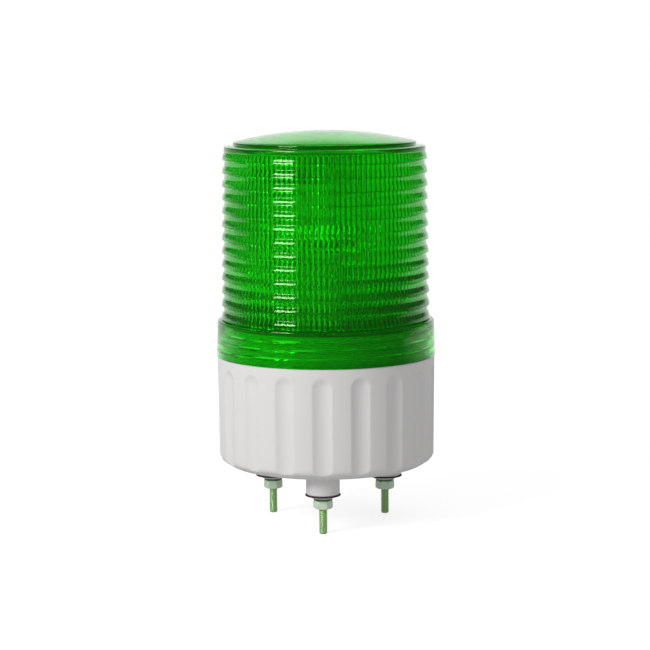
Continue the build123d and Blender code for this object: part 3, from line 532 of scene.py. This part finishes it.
def makePacking(foot):
    s = packingShape
    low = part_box(foot + "_packing")[0].z / mm
    high = baseZ - housingShape["bossDrop"]
    section = [
        (s["inner"], low), (s["foot"], low), (s["outer"], high - s["lip"]), (s["outer"], high),
        (s["inner"], high),
    ]
    bm = bmesh.new()
    drawSection(bm, section, [(section[2], s["round"]), (section[3], s["round"])])
    spinSection(bm, s["steps"], centreOf(foot + "_stud"))
    return finishPiece(bm, foot + "PackingRing", smoothAngle=40)


for foot in feet:
    dress(makePacking(foot), darkRubber, "base", "rubber", foot + "_packing")
print("packing rings made")


# CAD pieces that keep their shape get merged copies, so that their round faces shade smoothly
def smoothCopy(nodeName):
    bm = bmesh.new()
    bm.from_mesh(frame["nodes"][nodeName].data)
    bmesh.ops.remove_doubles(bm, verts=bm.verts, dist=mergeGap)
    words = nodeName.split("_")
    name = words[0] + "".join(word.capitalize() for word in words[1:])
    return makePiece(bm, name, smoothAngle=30)


nodeBodies = {
    node: body for body, nodes in frame["record"]["behaviour"]["bodies"].items() for node in nodes
}
nodeSlots = {part["node"]: part["material_slot"] for part in frame["record"]["subparts"]}
madeHere = {"globe", "base_housing"} | {foot + end for foot in feet for end in ("_stud", "_packing")}
ownMaterials = {"chassis_plate": darkPlate}
# flat washers get a lighter copy of the zinc, painted light on their tops
ownMaterials.update({foot + "_flat_washer": washerZincPaintedLit for foot in feet})
# lock washers get a darkened steel, painted shade in the gap under the nut
ownMaterials.update({foot + "_lock_washer": lockWasherPaintedShade for foot in feet})
for nodeName in sorted(nodeSlots):
    if nodeName not in madeHere:
        slot = nodeSlots[nodeName]
        material = ownMaterials.get(nodeName, slotMaterials[slot])
        dress(smoothCopy(nodeName), material, nodeBodies[nodeName], slot, nodeName)
print("inner pieces smoothed")


# White studio: what is seen in a direction depends on the kind of ray
studio = {
    "worldStrength": 0.48, "overhead": 0.12,
    "whiteUpTo": 0.0, "whiteEnds": 0.16, "darkAhead": -0.1, "whiteBehind": 0.6,
    "backdropSide": 0.78, "backdropMiddle": 0.93, "backdropLow": 0.34, "backdropTop": 0.62,
    "dimTowards": (0.8, -0.6, 0.0), "dimLevel": 0.15, "dimFrom": 0.15, "dimTo": 0.8,
}
floorSet = {
    "size": 12.0, "grey": 0.8, "roughness": 0.9, "glow": 0.74, "shadowShare": 0.55,
    "darkUpTo": -0.1, "whiteFrom": 0.5, "dimFrom": 0.05, "dimTo": 0.25,
}
keyLight = {
    "turn": -44.0, "distance": 0.95, "height": 0.56, "width": 0.42, "tall": 0.3, "power": 5.5,
}
cameraSet = {
    "turn": 3.5, "pitch": 7.587, "roll": -0.42, "distance": 1.101, "lens": 125.94,
    "sensor": 36, "aimSide": -0.0004, "aimHeight": 0.09585, "nearest": 0.05, "farthest": 60,
}


# The second value is a socket or a number
def joinValues(tree, operation, first, second):
    node = tree.nodes.new("ShaderNodeMath")
    node.operation = operation
    tree.links.new(first, node.inputs[0])
    if isinstance(second, float):
        node.inputs[1].default_value = second
    else:
        tree.links.new(second, node.inputs[1])
    return node.outputs[0]


def fadeBetween(tree, value, start, end, low, high):
    node = tree.nodes.new("ShaderNodeMapRange")
    node.interpolation_type = "SMOOTHSTEP"
    for name, number in zip(("From Min", "From Max", "To Min", "To Max"), (start, end, low, high)):
        node.inputs[name].default_value = number
    tree.links.new(value, node.inputs["Value"])
    return node.outputs["Result"]


# Rays through plastic see white all round, except in front at the right: there the room is dim,
# so the far half of the collar lies in shade
def seenThrough(tree, place, start, end):
    node = tree.nodes.new("ShaderNodeVectorMath")
    node.operation = "DOT_PRODUCT"
    node.inputs[1].default_value = studio["dimTowards"]
    tree.links.new(place, node.inputs[0])
    right = fadeBetween(tree, node.outputs["Value"], start, end, 1.0, studio["dimLevel"])
    path = tree.nodes.new("ShaderNodeLightPath")
    return joinValues(tree, "MULTIPLY", path.outputs["Is Transmission Ray"], right)


# The plain shader lights the pieces, the seen one is for the camera, reflections and clear plastic
def mixByRay(tree, plain, seen, output):
    path = tree.nodes.new("ShaderNodeLightPath")
    direct = joinValues(
        tree, "MAXIMUM", path.outputs["Is Camera Ray"], path.outputs["Is Glossy Ray"]
    )
    isSeen = joinValues(tree, "MAXIMUM", direct, path.outputs["Is Transmission Ray"])
    mix = tree.nodes.new("ShaderNodeMixShader")
    tree.links.new(isSeen, mix.inputs["Fac"])
    tree.links.new(plain, mix.inputs[1])
    tree.links.new(seen, mix.inputs[2])
    tree.links.new(mix.outputs[0], tree.nodes[output].inputs["Surface"])


def makeWorld():
    s = studio
    world = bpy.data.worlds.new("white studio")
    world.use_nodes = True
    tree = world.node_tree
    lit = tree.nodes["Background"]
    lit.inputs["Color"].default_value = (1, 1, 1, 1)
    lit.inputs["Strength"].default_value = s["worldStrength"]
    seen = tree.nodes.new("ShaderNodeBackground")
    seen.inputs["Color"].default_value = (1, 1, 1, 1)
    place = tree.nodes.new("ShaderNodeTexCoord")
    apart = tree.nodes.new("ShaderNodeSeparateXYZ")
    path = tree.nodes.new("ShaderNodeLightPath")
    tree.links.new(place.outputs["Generated"], apart.inputs[0])
    # the horizon is white behind, and a backdrop stands in the middle of it
    low = fadeBetween(tree, apart.outputs["Z"], s["whiteUpTo"], s["whiteEnds"], 1.0, 0.0)
    behind = fadeBetween(tree, apart.outputs["Y"], s["darkAhead"], s["whiteBehind"], 0.0, 1.0)
    through = seenThrough(tree, place.outputs["Generated"], s["dimFrom"], s["dimTo"])
    around = joinValues(tree, "MAXIMUM", through, behind)
    horizon = joinValues(tree, "MULTIPLY", low, around)
    middle = fadeBetween(
        tree, apart.outputs["Y"], s["backdropSide"], s["backdropMiddle"], 0.0, 1.0
    )
    lower = fadeBetween(tree, apart.outputs["Z"], s["backdropLow"], s["backdropTop"], 1.0, 0.0)
    backdrop = joinValues(tree, "MULTIPLY", middle, lower)
    room = joinValues(tree, "MAXIMUM", horizon, backdrop)
    # the camera itself sees it all white, and nothing is darker than the ceiling
    level = joinValues(tree, "MAXIMUM", path.outputs["Is Camera Ray"], room)
    level = joinValues(tree, "MAXIMUM", level, s["overhead"])
    tree.links.new(level, seen.inputs["Strength"])
    mixByRay(tree, lit.outputs[0], seen.outputs[0], "World Output")
    bpy.context.scene.world = world


# Seen directly the floor is white with a faint shadow, reflections see it darker on the camera's
# side, and all other rays see plain pale grey
def floorMaterial():
    s = floorSet
    material = newMaterial("white studio floor", (s["grey"],) * 3 + (1,), s["roughness"])
    tree = material.node_tree
    plain = tree.nodes["Principled BSDF"]
    plain.inputs["Specular IOR Level"].default_value = 0.0
    place = tree.nodes.new("ShaderNodeTexCoord")
    apart = tree.nodes.new("ShaderNodeSeparateXYZ")
    path = tree.nodes.new("ShaderNodeLightPath")
    tree.links.new(place.outputs["Object"], apart.inputs[0])
    behind = fadeBetween(
        tree, apart.outputs["Y"], s["darkUpTo"], s["whiteFrom"], studio["overhead"], 1.0
    )
    through = seenThrough(tree, place.outputs["Object"], s["dimFrom"], s["dimTo"])
    direct = joinValues(tree, "MAXIMUM", path.outputs["Is Camera Ray"], through)
    level = joinValues(tree, "MAXIMUM", direct, behind)
    glow = tree.nodes.new("ShaderNodeEmission")
    faint = tree.nodes.new("ShaderNodeBsdfDiffuse")
    white = tree.nodes.new("ShaderNodeAddShader")
    tree.links.new(joinValues(tree, "MULTIPLY", level, s["glow"]), glow.inputs["Strength"])
    tree.links.new(joinValues(tree, "MULTIPLY", level, s["shadowShare"]), faint.inputs["Color"])
    tree.links.new(glow.outputs[0], white.inputs[0])
    tree.links.new(faint.outputs[0], white.inputs[1])
    mixByRay(tree, plain.outputs[0], white.outputs[0], "Material Output")
    return material


def makeFloor():
    bm = bmesh.new()
    bmesh.ops.create_grid(bm, x_segments=1, y_segments=1, size=floorSet["size"])
    mesh = bpy.data.meshes.new("studioFloor")
    bm.to_mesh(mesh)
    bm.free()
    floor = bpy.data.objects.new("studioFloor", mesh)
    bpy.context.scene.collection.objects.link(floor)
    floor.data.materials.append(floorMaterial())


def makeKeyLight():
    s = keyLight
    angle = radians(s["turn"])
    place = Vector((s["distance"] * sin(angle), -s["distance"] * cos(angle), s["height"]))
    light = bpy.data.lights.new("keySoftbox", "AREA")
    light.shape = "RECTANGLE"
    light.size = s["width"]
    light.size_y = s["tall"]
    light.energy = s["power"]
    lamp = bpy.data.objects.new("keySoftbox", light)
    lamp.location = place
    aim = Vector((0, 0, cameraSet["aimHeight"])) - place
    lamp.rotation_euler = aim.to_track_quat("-Z", "Y").to_euler()
    bpy.context.scene.collection.objects.link(lamp)


def makeCamera():
    s = cameraSet
    turn = radians(s["turn"])
    pitch = radians(s["pitch"])
    roll = radians(s["roll"])
    right = Vector((cos(turn), sin(turn), 0))
    ahead = Vector((-sin(turn) * cos(pitch), cos(turn) * cos(pitch), -sin(pitch)))
    up = right.cross(ahead)
    rolledRight = right * cos(roll) + up * sin(roll)
    rolledUp = up * cos(roll) - right * sin(roll)
    aim = right * s["aimSide"] + Vector((0, 0, s["aimHeight"]))
    data = bpy.data.cameras.new("photoCamera")
    data.lens = s["lens"]
    data.sensor_width = s["sensor"]
    data.clip_start = s["nearest"]
    data.clip_end = s["farthest"]
    camera = bpy.data.objects.new("photoCamera", data)
    turned = Matrix((rolledRight, rolledUp, -ahead)).transposed().to_4x4()
    camera.matrix_world = Matrix.Translation(aim - ahead * s["distance"]) @ turned
    bpy.context.scene.collection.objects.link(camera)
    bpy.context.scene.camera = camera


makeWorld()
makeFloor()
makeKeyLight()
makeCamera()
bpy.context.scene.view_settings.view_transform = "Standard"
print("studio ready")
